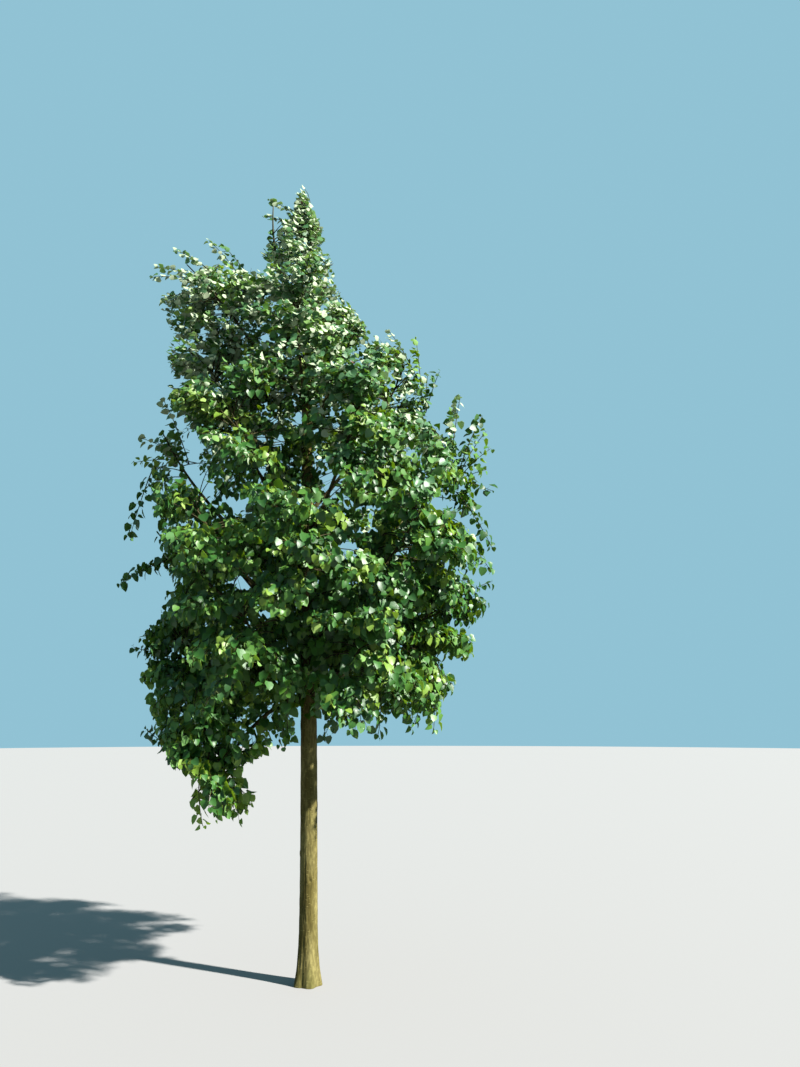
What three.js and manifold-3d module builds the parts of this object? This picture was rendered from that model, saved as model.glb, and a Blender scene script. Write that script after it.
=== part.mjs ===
// A young poplar on a single clear stem, about 5.8 m tall, in full summer leaf.
// Millimetres, +Z up. The origin is the middle of the flat cut under the trunk, at ground level.
// Bearings go round the trunk from +X at 0 degrees, through +Y at 90 (the far side), to -Y at 270 (the near side).
import * as THREE from "three";
import { mergeVertices } from "three/addons/utils/BufferGeometryUtils.js";
import Module from "manifold-3d";

const wasm = await Module();
wasm.setup();

// Trunk: a slight lean to the left that grows with height, a gentle sway, and a flare of root lobes at the foot
const TRUNK_HEIGHT = 4660;
const TRUNK_RADIUS = 57;
const TAPER_HEIGHT = 5200;
const TAPER_POWER = 0.6;
const LEAN = 190;
const LEAN_HEIGHT = 5800;
const LEAN_POWER = 1.35;
const SWAY = 14;
const SWAY_LENGTH = 3400;
const FLARE_RADIUS = 30;
const FLARE_HEIGHT = 150;
const FLARE_LOBES = 5;
const FLARE_LOBE_SHARE = 0.3;
const TRUNK_SIDES = 14;
const TRUNK_RINGS = 12;
const RING_CROWDING = 1.5;

// Boughs: one tapering limb to each mass, thicker in a collar where it leaves the trunk
const BOUGH_FOOT_SHARE = 0.36;
const BOUGH_FOOT_LEAST = 15;
const BOUGH_TIP_RADIUS = 11;
const BOUGH_TAPER_POWER = 0.8;
const BOUGH_COLLAR = 0.35;
const BOUGH_COLLAR_FADE = 12;
const BOUGH_ENTRY = 0.72;
const BOUGH_SAG = 0.1;
const BOUGH_ARCH = 0.3;
const BOUGH_SIDES = 5;
const BOUGH_STEPS = 3;

// Free room kept between parts: the air left at each joint, and round every limb
const JOINT_GAP = 0.3;
const LIMB_GAP = 3;

// Stem and twigs of a mass
const STEM_TIP_RADIUS = 9;
const STEM_SIDES = 4;
const STEM_STEPS = 3;
const STEM_REACH = 0.5;
const STEM_RISE = 0.9;
const STEM_BEND = 0.45;
const TWIG_FOOT_RADIUS = 6;
const TWIG_TIP_RADIUS = 5;
const TWIG_SIDES = 3;
const TWIG_STEPS = 1;
const TWIG_AREA = 560000;
const TWIG_TURN = THREE.MathUtils.degToRad(137.5);
const TWIG_LONGEST = 0.85;
const TWIG_SHORTEST = 0.25;
const TWIG_SHORTER = 0.05;
const TWIG_FIRST = 0.08;
const TWIG_LAST = 0.85;

// Leaves: folded kites, each as large as a spray of real ones
const LEAF_LENGTH = 295;
const LEAF_WIDTH = 255;
const LEAF_THICKNESS = 9;
const LEAF_WIDEST = 0.45;
const LEAF_FOLD = 15;
const LEAF_SETBACK = 2;
const LEAF_ROOT_VOLUME = 12;
const LEAVES_ON_TWIG = 3;
const LEAF_STEP = 0.36;
const LEAF_TRIES = 6;
const LEAF_SPLAY = 0.5;
const LEAF_DROOP = 0.9;
const TIP_LEAF_DROOP = 0.35;
const LEAF_WIND = 0.3;
const LEAF_SKYWARD = 0.4;
const LEAF_TWIST = Math.PI;
const LEAF_SMALLEST = 0.66;
const FULL_LEAF_ROOM = 400;

// A mass of foliage widens towards the trunk, on its inner side.
const INWARD_SHARE = 1.25;

// Every mass of foliage: the bearing, reach and height of its middle, half its size outwards, across and upwards,
// and the height at which its bough leaves the trunk. The leader grows on from the trunk itself.
const MASSES = [
  { name: "leader", bearing: 0, reach: 20, height: 5180, size: [310, 330, 720] },
  { name: "leader_side", bearing: 183, reach: 300, height: 5390, size: [200, 240, 470], foot: 4420 },
  { name: "upper_left", bearing: 180, reach: 760, height: 4880, size: [460, 430, 500], foot: 3980 },
  { name: "upper_front", bearing: 264, reach: 400, height: 4440, size: [420, 480, 540], foot: 3900 },
  { name: "upper_right", bearing: 358, reach: 340, height: 4330, size: [310, 440, 500], foot: 3740 },
  { name: "upper_back", bearing: 86, reach: 440, height: 4560, size: [440, 500, 540], foot: 3820 },
  { name: "mid_left", bearing: 186, reach: 660, height: 4010, size: [470, 480, 540], foot: 3160 },
  { name: "left_wing", bearing: 176, reach: 1030, height: 3480, size: [330, 360, 560], foot: 2500 },
  { name: "right_shoulder", bearing: 4, reach: 700, height: 4030, size: [350, 440, 540], foot: 3080 },
  { name: "mid_front_right", bearing: 309, reach: 640, height: 3600, size: [400, 430, 520], foot: 2900 },
  { name: "mid_front_left", bearing: 232, reach: 690, height: 3480, size: [400, 420, 520], foot: 2800 },
  { name: "mid_back_left", bearing: 127, reach: 700, height: 3860, size: [430, 500, 540], foot: 2990 },
  { name: "mid_back_right", bearing: 52, reach: 690, height: 3760, size: [430, 500, 540], foot: 2870 },
  { name: "right", bearing: 357, reach: 990, height: 3290, size: [400, 470, 640], foot: 2420 },
  { name: "left", bearing: 183, reach: 960, height: 2700, size: [450, 480, 480], foot: 2150 },
  { name: "front", bearing: 276, reach: 840, height: 2680, size: [430, 520, 480], foot: 2100 },
  { name: "front_left", bearing: 226, reach: 900, height: 2800, size: [400, 420, 480], foot: 2260 },
  { name: "front_right", bearing: 322, reach: 950, height: 2760, size: [400, 430, 480], foot: 2180 },
  { name: "back", bearing: 92, reach: 880, height: 2980, size: [430, 520, 540], foot: 2300 },
  { name: "back_left", bearing: 142, reach: 960, height: 2880, size: [420, 470, 520], foot: 2230 },
  { name: "back_right", bearing: 40, reach: 960, height: 2800, size: [420, 470, 520], foot: 2200 },
  { name: "lower_right", bearing: 356, reach: 860, height: 2230, size: [400, 470, 520], foot: 1900 },
  { name: "lower_left", bearing: 180, reach: 860, height: 2000, size: [450, 460, 480], foot: 1840 },
  { name: "hanging_left", bearing: 213, reach: 730, height: 1390, size: [310, 340, 530], foot: 1760 },
  { name: "lower_front_left", bearing: 243, reach: 740, height: 2120, size: [400, 430, 460], foot: 1950 },
  { name: "lower_front_right", bearing: 306, reach: 730, height: 2000, size: [400, 470, 500], foot: 1800 },
  { name: "lower_back_left", bearing: 130, reach: 850, height: 2070, size: [420, 470, 480], foot: 1740 },
  { name: "lower_back", bearing: 84, reach: 860, height: 2160, size: [410, 470, 480], foot: 1860 },
  { name: "lower_back_right", bearing: 38, reach: 870, height: 2060, size: [410, 470, 470], foot: 1720 },
];

const UP = new THREE.Vector3(0, 0, 1);
const bark = new THREE.MeshStandardMaterial({ color: 0x7d7462, roughness: 0.9, metalness: 0 });
const leaf = new THREE.MeshStandardMaterial({ color: 0x3f6b26, roughness: 0.55, metalness: 0 });

// A repeatable value from 0 to 1 for each pair of numbers.
function chance(seed, turn) {
  const wave = Math.sin(seed * 127.1 + turn * 311.7) * 43758.5453;
  return wave - Math.floor(wave);
}

// The binary digits of a whole number mirrored behind the point, which spreads 1, 2, 3... evenly over 0 to 1.
function spread(number) {
  let value = 0;
  for (let rest = number, digit = 0.5; rest > 0; rest = Math.floor(rest / 2), digit /= 2) {
    value += (rest % 2) * digit;
  }
  return value;
}

function trunkAt(height) {
  const lean = -LEAN * (height / LEAN_HEIGHT) ** LEAN_POWER;
  const sway = SWAY * Math.sin((2 * Math.PI * height) / SWAY_LENGTH);
  return new THREE.Vector3(lean, sway, height);
}

function trunkRadius(height) {
  return TRUNK_RADIUS * (1 - (height / TAPER_HEIGHT) ** 2) ** TAPER_POWER;
}

// The trunk: level rings along the leaning centre line, so that the cut under the foot is flat.
function trunkGeometry(extra = 0) {
  const geometry = new THREE.CylinderGeometry(1, 1, 1, TRUNK_SIDES, TRUNK_RINGS);
  const position = geometry.attributes.position;
  for (let i = 0; i < position.count; i += 1) {
    const height = TRUNK_HEIGHT * (position.getY(i) + 0.5) ** RING_CROWDING;
    const angle = Math.atan2(position.getZ(i), position.getX(i));
    const lobe = 1 + FLARE_LOBE_SHARE * Math.cos(FLARE_LOBES * angle);
    const radius = trunkRadius(height) + FLARE_RADIUS * lobe * Math.exp(-height / FLARE_HEIGHT) + extra;
    const centre = trunkAt(height);
    position.setXYZ(i, centre.x + radius * position.getX(i), centre.y - radius * position.getZ(i), height);
  }
  return geometry;
}

// A bough, stem or twig: a curve followed in straight runs, with its own thickness, closed at both ends.
class Limb {
  constructor(curve, radiusAt, sides, steps) {
    Object.assign(this, { curve, radiusAt, sides, steps });
  }

  pointAt(along) {
    const run = Math.min(Math.floor(along * this.steps), this.steps - 1);
    const start = this.curve.getPointAt(run / this.steps);
    return start.lerp(this.curve.getPointAt((run + 1) / this.steps), along * this.steps - run);
  }

  solid(extra = 0) {
    const geometry = new THREE.CylinderGeometry(1, 1, 1, this.sides, this.steps);
    const position = geometry.attributes.position;
    const frames = this.curve.computeFrenetFrames(this.steps, false);
    for (let i = 0; i < position.count; i += 1) {
      const along = position.getY(i) + 0.5;
      const step = Math.round(along * this.steps);
      const radius = this.radiusAt(along) + extra;
      const point = this.curve
        .getPointAt(along)
        .addScaledVector(frames.binormals[step], radius * position.getX(i))
        .addScaledVector(frames.normals[step], radius * position.getZ(i));
      position.setXYZ(i, point.x, point.y, point.z);
    }
    return solidOf(geometry);
  }
}

// A closed geometry as a solid that can be joined and cut.
function solidOf(geometry) {
  geometry.deleteAttribute("normal");
  geometry.deleteAttribute("uv");
  const merged = mergeVertices(geometry, 1e-3);
  const vertProperties = new Float32Array(merged.attributes.position.array);
  const triVerts = new Uint32Array(merged.index.array);
  return new wasm.Manifold(new wasm.Mesh({ numProp: 3, vertProperties, triVerts }));
}

function geometryOf(solid) {
  const { vertProperties, triVerts } = solid.getMesh();
  const geometry = new THREE.BufferGeometry();
  geometry.setAttribute("position", new THREE.BufferAttribute(new Float32Array(vertProperties), 3));
  geometry.setIndex(new THREE.BufferAttribute(new Uint32Array(triVerts), 1));
  geometry.computeVertexNormals();
  return geometry;
}

function largestBody(solid) {
  return solid.decompose().reduce((best, body) => (body.volume() > best.volume() ? body : best));
}

function meets(others, solid) {
  return others.some((other) => !other.intersect(solid).isEmpty());
}

// The space that a mass keeps to: an egg-shaped room in the crown.
class Space {
  constructor({ bearing, reach, height, size }) {
    const angle = THREE.MathUtils.degToRad(bearing);
    this.out = new THREE.Vector3(Math.cos(angle), Math.sin(angle), 0);
    this.across = new THREE.Vector3().crossVectors(UP, this.out);
    this.size = size;
    this.middle = trunkAt(height).addScaledVector(this.out, reach);
  }

  // How far out a point lies: 0 at the middle, 1 at the edge.
  share(point) {
    const offset = point.clone().sub(this.middle);
    const [out, across, up] = this.size;
    const outwards = offset.dot(this.out);
    const depth = outwards < 0 ? out * INWARD_SHARE : out;
    return Math.hypot(outwards / depth, offset.dot(this.across) / across, offset.z / up);
  }

  // The point in a given direction, at a given share of the way to the edge.
  pointAt(turn, rise, share) {
    const [out, across, up] = this.size;
    const level = Math.sqrt(1 - rise * rise);
    const depth = Math.cos(turn) < 0 ? out * INWARD_SHARE : out;
    return this.middle
      .clone()
      .addScaledVector(this.out, share * depth * level * Math.cos(turn))
      .addScaledVector(this.across, share * across * level * Math.sin(turn))
      .addScaledVector(UP, share * up * rise);
  }

  // Narrow masses have smaller leaves.
  get leafScale() {
    return THREE.MathUtils.clamp(Math.min(this.size[0], this.size[1]) / FULL_LEAF_ROOM, LEAF_SMALLEST, 1);
  }

  // Twigs by the surface of the mass, closer together where its leaves are smaller.
  get twigCount() {
    const [out, across, up] = this.size;
    const surface = (4 * Math.PI * (out * across + across * up + up * out)) / 3;
    return Math.round(surface / (TWIG_AREA * this.leafScale ** 2));
  }
}

const spaces = new Map(MASSES.map((mass) => [mass.name, new Space(mass)]));

// A twig or leaf keeps to its mass when no point of it is outside the space, and no neighbour's middle is nearer.
function keepsTo(mass, points) {
  const own = spaces.get(mass.name);
  const middle = points[0];
  if (points.some((point) => own.share(point) > 1)) return false;
  return MASSES.every((other) => other === mass || spaces.get(other.name).share(middle) > own.share(middle));
}

// A mass below the foot of its bough hangs from it.
function hangs(mass) {
  return mass.height < mass.foot;
}

// A bough rises from the heart of the trunk to where it enters its mass, or arches over and down to a hanging one.
function boughLimb(mass) {
  const space = spaces.get(mass.name);
  const start = trunkAt(mass.foot);
  const inward = start.clone().sub(space.middle).normalize();
  const edge = 1 / space.share(space.middle.clone().add(inward));
  const end = space.middle.clone().addScaledVector(inward, edge * BOUGH_ENTRY);
  const lift = hangs(mass) ? BOUGH_ARCH : -BOUGH_SAG;
  const bend = start.clone().lerp(end, 0.5).addScaledVector(UP, lift * end.distanceTo(start));
  const footRadius = Math.max(BOUGH_FOOT_LEAST, trunkRadius(mass.foot) * BOUGH_FOOT_SHARE);
  const radiusAt = (along) => {
    const collar = 1 + BOUGH_COLLAR * Math.exp(-along * BOUGH_COLLAR_FADE);
    return THREE.MathUtils.lerp(footRadius, BOUGH_TIP_RADIUS, along ** BOUGH_TAPER_POWER) * collar;
  };
  return new Limb(new THREE.QuadraticBezierCurve3(start, bend, end), radiusAt, BOUGH_SIDES, BOUGH_STEPS);
}

// The stem of a mass carries its bough, or the trunk, on into the far upper side of the space.
function stemLimb(mass, tip, heading, tipRadius) {
  const start = tip.clone().addScaledVector(heading, JOINT_GAP);
  const far = spaces.get(mass.name).pointAt(0, hangs(mass) ? -STEM_RISE : STEM_RISE, STEM_REACH);
  const bend = start.clone().addScaledVector(heading, STEM_BEND * far.distanceTo(start));
  const radiusAt = (along) => THREE.MathUtils.lerp(tipRadius, STEM_TIP_RADIUS, along);
  return new Limb(new THREE.QuadraticBezierCurve3(start, bend, far), radiusAt, STEM_SIDES, STEM_STEPS);
}

// A twig leaves the stem below the level of its own tip. It is as long as the space allows with a leaf at its tip.
function twigLimb(mass, stem, number) {
  const turn = (number + 0.5 * chance(mass.seed, number)) * TWIG_TURN;
  const rise = 1 - 2 * spread(number);
  const foot = stem.pointAt(THREE.MathUtils.lerp(TWIG_FIRST, TWIG_LAST, 0.5 + 0.5 * rise));
  const radiusAt = (along) => THREE.MathUtils.lerp(TWIG_FOOT_RADIUS, TWIG_TIP_RADIUS, along);
  for (let share = TWIG_LONGEST; share > TWIG_SHORTEST; share -= TWIG_SHORTER) {
    const tip = spaces.get(mass.name).pointAt(turn, rise, share);
    const twig = new Limb(new THREE.LineCurve3(foot, tip), radiusAt, TWIG_SIDES, TWIG_STEPS);
    if (keepsTo(mass, [tip]) && keepsTo(mass, leafPoints(leafMatrix(mass, twig, 1, 0)))) return twig;
  }
  return null;
}

// One leaf: a folded kite of eight faces, with its root at the origin and its tip along +Z.
function leafGeometry() {
  const geometry = new THREE.OctahedronGeometry(1);
  const position = geometry.attributes.position;
  for (let i = 0; i < position.count; i += 1) {
    const side = position.getX(i);
    const ahead = Math.abs(position.getZ(i)) < 0.5 ? LEAF_WIDEST : 0.5 + 0.5 * position.getZ(i);
    const lift = position.getY(i) * (LEAF_THICKNESS / 2) + LEAF_FOLD * Math.abs(side);
    position.setXYZ(i, side * (LEAF_WIDTH / 2), lift, ahead * LEAF_LENGTH);
  }
  return geometry;
}

const leafSolid = solidOf(leafGeometry());

// Where a leaf sits: rooted in the heart of the twig, splayed and drooping, blown to the left near the top of the tree.
function leafMatrix(mass, twig, along, turn) {
  const atTip = along === 1;
  const place = Math.min(along, 1 - LEAF_SETBACK / twig.curve.getLength());
  const root = twig.pointAt(place);
  const heading = twig.curve.getTangentAt(place);
  const side = new THREE.Vector3().crossVectors(heading, UP).normalize();
  const above = new THREE.Vector3().crossVectors(side, heading);
  const splay = atTip ? 0 : LEAF_SPLAY;
  const direction = heading
    .clone()
    .multiplyScalar(1 - splay)
    .addScaledVector(side, 2 * splay * Math.cos(turn))
    .addScaledVector(above, 2 * splay * Math.sin(turn))
    .add(new THREE.Vector3((-LEAF_WIND * root.z) / TRUNK_HEIGHT, 0, atTip ? -TIP_LEAF_DROOP : -LEAF_DROOP))
    .normalize();
  const facing = root
    .clone()
    .setZ(0)
    .normalize()
    .addScaledVector(UP, LEAF_SKYWARD)
    .applyAxisAngle(UP, LEAF_TWIST * (chance(mass.seed, turn) - 0.5));
  const normal = facing.addScaledVector(direction, -facing.dot(direction)).normalize();
  const width = new THREE.Vector3().crossVectors(normal, direction);
  const scale = new THREE.Vector3().setScalar(spaces.get(mass.name).leafScale);
  return new THREE.Matrix4().makeBasis(width, normal, direction).scale(scale).setPosition(root);
}

// The middle of a leaf, its tip and its two widest corners.
function leafPoints(matrix) {
  const widest = LEAF_WIDEST * LEAF_LENGTH;
  return [
    new THREE.Vector3(0, 0, widest),
    new THREE.Vector3(0, 0, LEAF_LENGTH),
    new THREE.Vector3(LEAF_WIDTH / 2, LEAF_FOLD, widest),
    new THREE.Vector3(-LEAF_WIDTH / 2, LEAF_FOLD, widest),
  ].map((point) => point.applyMatrix4(matrix));
}

// The stem of a mass with all its twigs, fused. A twig that would touch another part is left out.
function growTwigs(mass, stem, others) {
  const limbs = [stem];
  let wood = stem.solid();
  for (let number = 1; number <= spaces.get(mass.name).twigCount; number += 1) {
    const twig = twigLimb(mass, stem, number);
    if (!twig || meets(others, twig.solid())) continue;
    wood = wood.add(twig.solid());
    limbs.push(twig);
  }
  return { limbs, wood };
}

// Leaves from the tip of each twig back towards the stem. Each tries a few turns for one where it touches nothing
// but its own twig, and is left out if there is none.
function growLeaves(mass, limbs, wood, others) {
  const leaves = [];
  for (let row = 0; row < LEAVES_ON_TWIG; row += 1) {
    limbs.forEach((twig, number) => {
      for (let attempt = 0; attempt < LEAF_TRIES; attempt += 1) {
        const turn = row * Math.PI + number * TWIG_TURN + (attempt * 2 * Math.PI) / LEAF_TRIES;
        const matrix = leafMatrix(mass, twig, 1 - row * LEAF_STEP, turn);
        if (!keepsTo(mass, leafPoints(matrix))) continue;
        const blade = leafSolid.transform(matrix.elements);
        if (meets(others, blade) || meets(leaves, blade)) continue;
        if (wood.intersect(blade).volume() > LEAF_ROOT_VOLUME) continue;
        leaves.push(blade);
        break;
      }
    });
  }
  return leaves;
}

function makeTree() {
  const tree = new THREE.Group();
  const addPart = (name, geometry, material) => {
    const mesh = new THREE.Mesh(geometry, material);
    mesh.name = name;
    tree.add(mesh);
  };

  addPart("trunk", trunkGeometry(), bark);
  const trunkRoom = solidOf(trunkGeometry(JOINT_GAP));
  const others = [solidOf(trunkGeometry(LIMB_GAP))];
  const stems = new Map();
  MASSES.forEach((mass, index) => {
    mass.seed = index + 1;
    if (!mass.foot) {
      stems.set(mass, stemLimb(mass, trunkAt(TRUNK_HEIGHT), UP, trunkRadius(TRUNK_HEIGHT)));
      return;
    }
    const bough = boughLimb(mass);
    addPart(`bough_${mass.name}`, geometryOf(largestBody(bough.solid().subtract(trunkRoom))), bark);
    others.push(bough.solid(LIMB_GAP));
    const { curve, radiusAt } = bough;
    stems.set(mass, stemLimb(mass, curve.getPointAt(1), curve.getTangentAt(1), radiusAt(1)));
  });

  for (const [mass, stem] of stems) {
    const { limbs, wood } = growTwigs(mass, stem, others);
    const leaves = growLeaves(mass, limbs, wood, others);
    const body = largestBody(leaves.reduce((all, blade) => all.add(blade), wood));
    addPart(`leaves_${mass.name}`, geometryOf(body), leaf);
    others.push(body);
  }
  return tree;
}

export default makeTree();
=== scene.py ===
import math

import bpy
import numpy as np
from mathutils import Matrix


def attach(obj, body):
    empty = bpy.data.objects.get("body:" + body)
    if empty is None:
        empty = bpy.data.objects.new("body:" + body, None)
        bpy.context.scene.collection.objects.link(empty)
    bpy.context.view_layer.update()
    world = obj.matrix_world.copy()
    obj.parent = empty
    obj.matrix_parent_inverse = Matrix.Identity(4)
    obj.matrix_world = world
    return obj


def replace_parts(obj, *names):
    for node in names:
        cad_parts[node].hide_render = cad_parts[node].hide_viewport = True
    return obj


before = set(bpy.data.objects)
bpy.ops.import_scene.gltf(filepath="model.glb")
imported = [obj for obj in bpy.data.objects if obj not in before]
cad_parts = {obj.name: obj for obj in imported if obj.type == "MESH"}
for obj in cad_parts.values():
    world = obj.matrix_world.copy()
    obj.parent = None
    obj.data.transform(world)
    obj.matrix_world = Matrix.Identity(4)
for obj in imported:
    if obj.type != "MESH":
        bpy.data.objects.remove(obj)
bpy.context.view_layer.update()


# The camera: it stands at eye height, 5.6 m in front of the tree and a little to its right. It is tilted up,
# so the crown leans in towards the top of the frame as it does in the photograph.
EYE = (0.587, -5.6, 1.6)
EYE_TILT = 13.45
LENS = 27.02
SENSOR_WIDTH = 36


def set_up(name, thing):
    """A camera, a mesh or a lamp, set up in the scene."""
    standing = bpy.data.objects.new(name, thing)
    bpy.context.scene.collection.objects.link(standing)
    return standing


viewpoint = bpy.data.cameras.new("viewpoint")
viewpoint.lens = LENS
viewpoint.sensor_width = SENSOR_WIDTH
viewpoint_object = set_up("viewpoint", viewpoint)
viewpoint_object.location = EYE
viewpoint_object.rotation_euler = (math.radians(90 + EYE_TILT), 0, 0)
bpy.context.scene.camera = viewpoint_object


# The trunk: one clear stem of young wood under thin grey-olive bark, which leans a little to the left. It
# stands in the ground on five low root lobes. Small eye-shaped scars show where its first branches were cut,
# and the bark swells under each bough to carry it.
TRUNK_HEIGHT = 4.66
TRUNK_RADIUS = 0.057
TAPER_HEIGHT = 5.2
TAPER_POWER = 0.6
LEAN = 0.19
LEAN_HEIGHT = 5.8
LEAN_POWER = 1.35
SWAY = 0.014
SWAY_LENGTH = 3.4
FLARE_RADIUS = 0.03
FLARE_HEIGHT = 0.15
FLARE_LOBES = 5
FLARE_LOBE_SHARE = 0.3
TRUNK_SIDES = 96
TRUNK_RINGS = 360
RINGS_CLOSER_BELOW = 1.3

# Every mass of foliage: the bearing, reach and height of its middle, half its size outwards, across and
# upwards, and the height at which its bough leaves the trunk. The leader grows on from the trunk itself.
MASSES = [
    ("leader", 0, 0.02, 5.18, (0.31, 0.33, 0.72), None),
    ("leader_side", 183, 0.30, 5.39, (0.20, 0.24, 0.47), 4.42),
    ("upper_left", 180, 0.76, 4.88, (0.46, 0.43, 0.50), 3.98),
    ("upper_front", 264, 0.40, 4.44, (0.42, 0.48, 0.54), 3.90),
    ("upper_right", 358, 0.34, 4.33, (0.31, 0.44, 0.50), 3.74),
    ("upper_back", 86, 0.44, 4.56, (0.44, 0.50, 0.54), 3.82),
    ("mid_left", 186, 0.66, 4.01, (0.47, 0.48, 0.54), 3.16),
    ("left_wing", 176, 1.03, 3.48, (0.33, 0.36, 0.56), 2.50),
    ("right_shoulder", 4, 0.70, 4.03, (0.35, 0.44, 0.54), 3.08),
    ("mid_front_right", 309, 0.64, 3.60, (0.40, 0.43, 0.52), 2.90),
    ("mid_front_left", 232, 0.69, 3.48, (0.40, 0.42, 0.52), 2.80),
    ("mid_back_left", 127, 0.70, 3.86, (0.43, 0.50, 0.54), 2.99),
    ("mid_back_right", 52, 0.69, 3.76, (0.43, 0.50, 0.54), 2.87),
    ("right", 357, 0.99, 3.29, (0.40, 0.47, 0.64), 2.42),
    ("left", 183, 0.96, 2.70, (0.45, 0.48, 0.48), 2.15),
    ("front", 276, 0.84, 2.68, (0.43, 0.52, 0.48), 2.10),
    ("front_left", 226, 0.90, 2.80, (0.40, 0.42, 0.48), 2.26),
    ("front_right", 322, 0.95, 2.76, (0.40, 0.43, 0.48), 2.18),
    ("back", 92, 0.88, 2.98, (0.43, 0.52, 0.54), 2.30),
    ("back_left", 142, 0.96, 2.88, (0.42, 0.47, 0.52), 2.23),
    ("back_right", 40, 0.96, 2.80, (0.42, 0.47, 0.52), 2.20),
    ("lower_right", 356, 0.86, 2.23, (0.40, 0.47, 0.52), 1.90),
    ("lower_left", 180, 0.86, 2.00, (0.45, 0.46, 0.48), 1.84),
    ("hanging_left", 213, 0.73, 1.39, (0.31, 0.34, 0.53), 1.76),
    ("lower_front_left", 243, 0.74, 2.12, (0.40, 0.43, 0.46), 1.95),
    ("lower_front_right", 306, 0.73, 2.00, (0.40, 0.47, 0.50), 1.80),
    ("lower_back_left", 130, 0.85, 2.07, (0.42, 0.47, 0.48), 1.74),
    ("lower_back", 84, 0.86, 2.16, (0.41, 0.47, 0.48), 1.86),
    ("lower_back_right", 38, 0.87, 2.06, (0.41, 0.47, 0.47), 1.72),
]


# Chance: how far it moves on with each seed and each turn, and how finely it is scattered.
SEED_STRIDE = 127.1
TURN_STRIDE = 311.7
SCATTER = 43758.5453


def chance(seed, turn):
    """A repeatable value from 0 to 1 for each pair of numbers, or for arrays of them."""
    wave = np.sin(np.asarray(seed) * SEED_STRIDE + np.asarray(turn) * TURN_STRIDE) * SCATTER
    return wave - np.floor(wave)


def trunk_at(height):
    height = np.asarray(height, dtype=float)
    lean = -LEAN * (height / LEAN_HEIGHT) ** LEAN_POWER
    sway = SWAY * np.sin(2 * np.pi * height / SWAY_LENGTH)
    return np.stack([lean, sway, height], axis=-1)


def trunk_radius(height):
    return TRUNK_RADIUS * (1 - (np.asarray(height) / TAPER_HEIGHT) ** 2) ** TAPER_POWER


def joined_mesh(name, points, *face_sets, uv=None):
    """One mesh from arrays: points, and sets of faces that each have the same number of corners."""
    mesh = bpy.data.meshes.new(name)
    corners = np.concatenate([faces.ravel() for faces in face_sets])
    sizes = np.concatenate([np.full(len(faces), faces.shape[1]) for faces in face_sets])
    mesh.vertices.add(len(points))
    mesh.vertices.foreach_set("co", np.ascontiguousarray(points, dtype=np.float32).ravel())
    mesh.loops.add(len(corners))
    mesh.loops.foreach_set("vertex_index", corners.astype(np.int32))
    mesh.polygons.add(len(sizes))
    mesh.polygons.foreach_set("loop_start", (np.cumsum(sizes) - sizes).astype(np.int32))
    mesh.update(calc_edges=True)
    mesh.polygons.foreach_set("use_smooth", np.ones(len(sizes), dtype=bool))
    if uv is not None:
        mesh.uv_layers.new(name="OFBake").data.foreach_set("uv", uv[corners].astype(np.float32).ravel())
    mesh.validate()
    return mesh


def place(name, mesh, material):
    """A finished piece of the tree, which stands fixed in the ground with the rest."""
    mesh.materials.append(material)
    piece = set_up(name, mesh)
    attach(piece, "root")
    return piece


def ring_faces(rings, sides, limbs=1):
    """Four-cornered faces between the rings of each limb, and one flat face over each of its ends."""
    ring, side = np.meshgrid(np.arange(rings - 1), np.arange(sides), indexing="ij")
    after = (side + 1) % sides
    lower, upper = ring * sides, (ring + 1) * sides
    walls = np.stack([lower + side, lower + after, upper + after, upper + side], axis=-1).reshape(-1, 4)
    ends = np.stack([np.arange(sides)[::-1], (rings - 1) * sides + np.arange(sides)])
    first = (np.arange(limbs) * rings * sides)[:, None, None]
    return (walls + first).reshape(-1, 4), (ends + first).reshape(-1, sides)


# The ridges of bark: how many run round a limb at least, and how many more there may be, how steeply they
# wind at least, and how much more they may, and the height of their sum that counts as a full ridge.
FEWEST_RIDGES = 3
MORE_RIDGES = 22
LEAST_WINDING = 1
MORE_WINDING = 9
FULL_RIDGE = 1.6


def bark_grain(turn, height, seed, waves):
    """Long shallow ridges and hollows that run up the bark, from -1 to 1."""
    grain = np.zeros_like(turn)
    for wave in range(waves):
        around = FEWEST_RIDGES + math.floor(MORE_RIDGES * chance(seed, wave))
        upward = (LEAST_WINDING + MORE_WINDING * chance(seed + 1, wave)) * (1 if wave % 2 else -1)
        start = 2 * np.pi * chance(seed + 2, wave)
        grain += np.sin(around * turn + upward * height + start) / math.sqrt(waves)
    return np.clip(grain / FULL_RIDGE, -1, 1)


# The layers of colour in the bark: how fine each pattern is beside the broad streaks, its detail, how far it
# is drawn out up the limb, and the two levels between which it sets in.
BROAD_STREAKS = (1, 5, 0.22, 0.36, 0.64)
FINE_CRACKS = (7, 6, 0.3, 0.6, 0.42)
GREEN_BLOOM = (0.35, 4, 0.6, 0.46, 0.68)
LAYER_BREAK_UP = 0.6
BLOOM_SHARE = 0.55
CRACK_SHARE = 0.45
CRACK_DARKNESS = 0.45

# The pores of cork: how fine they are beside the broad streaks, their shape, their paleness and their height.
PORE_FINENESS = 4
PORE_SHAPE = (0.55, 0.55, 2.6)
PORE_EDGE = 0.22
PORE_CORE = 0.1
PORE_SHARE = 0.5
PORE_PALENESS = 1.5
PORE_HEIGHT = 0.5
CRACK_HEIGHT = 1.2
BARK_BUMP = 0.8
BARK_SMOOTHEST = 0.1
BARK_ROUGHEST = 0.08
BARK_SHINE = 0.06


def new_finish(name):
    """A material, and the surface that the steps of its finish lead to."""
    finish = bpy.data.materials.new(name)
    finish.use_nodes = True
    return finish, finish.node_tree.nodes["Principled BSDF"]


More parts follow.
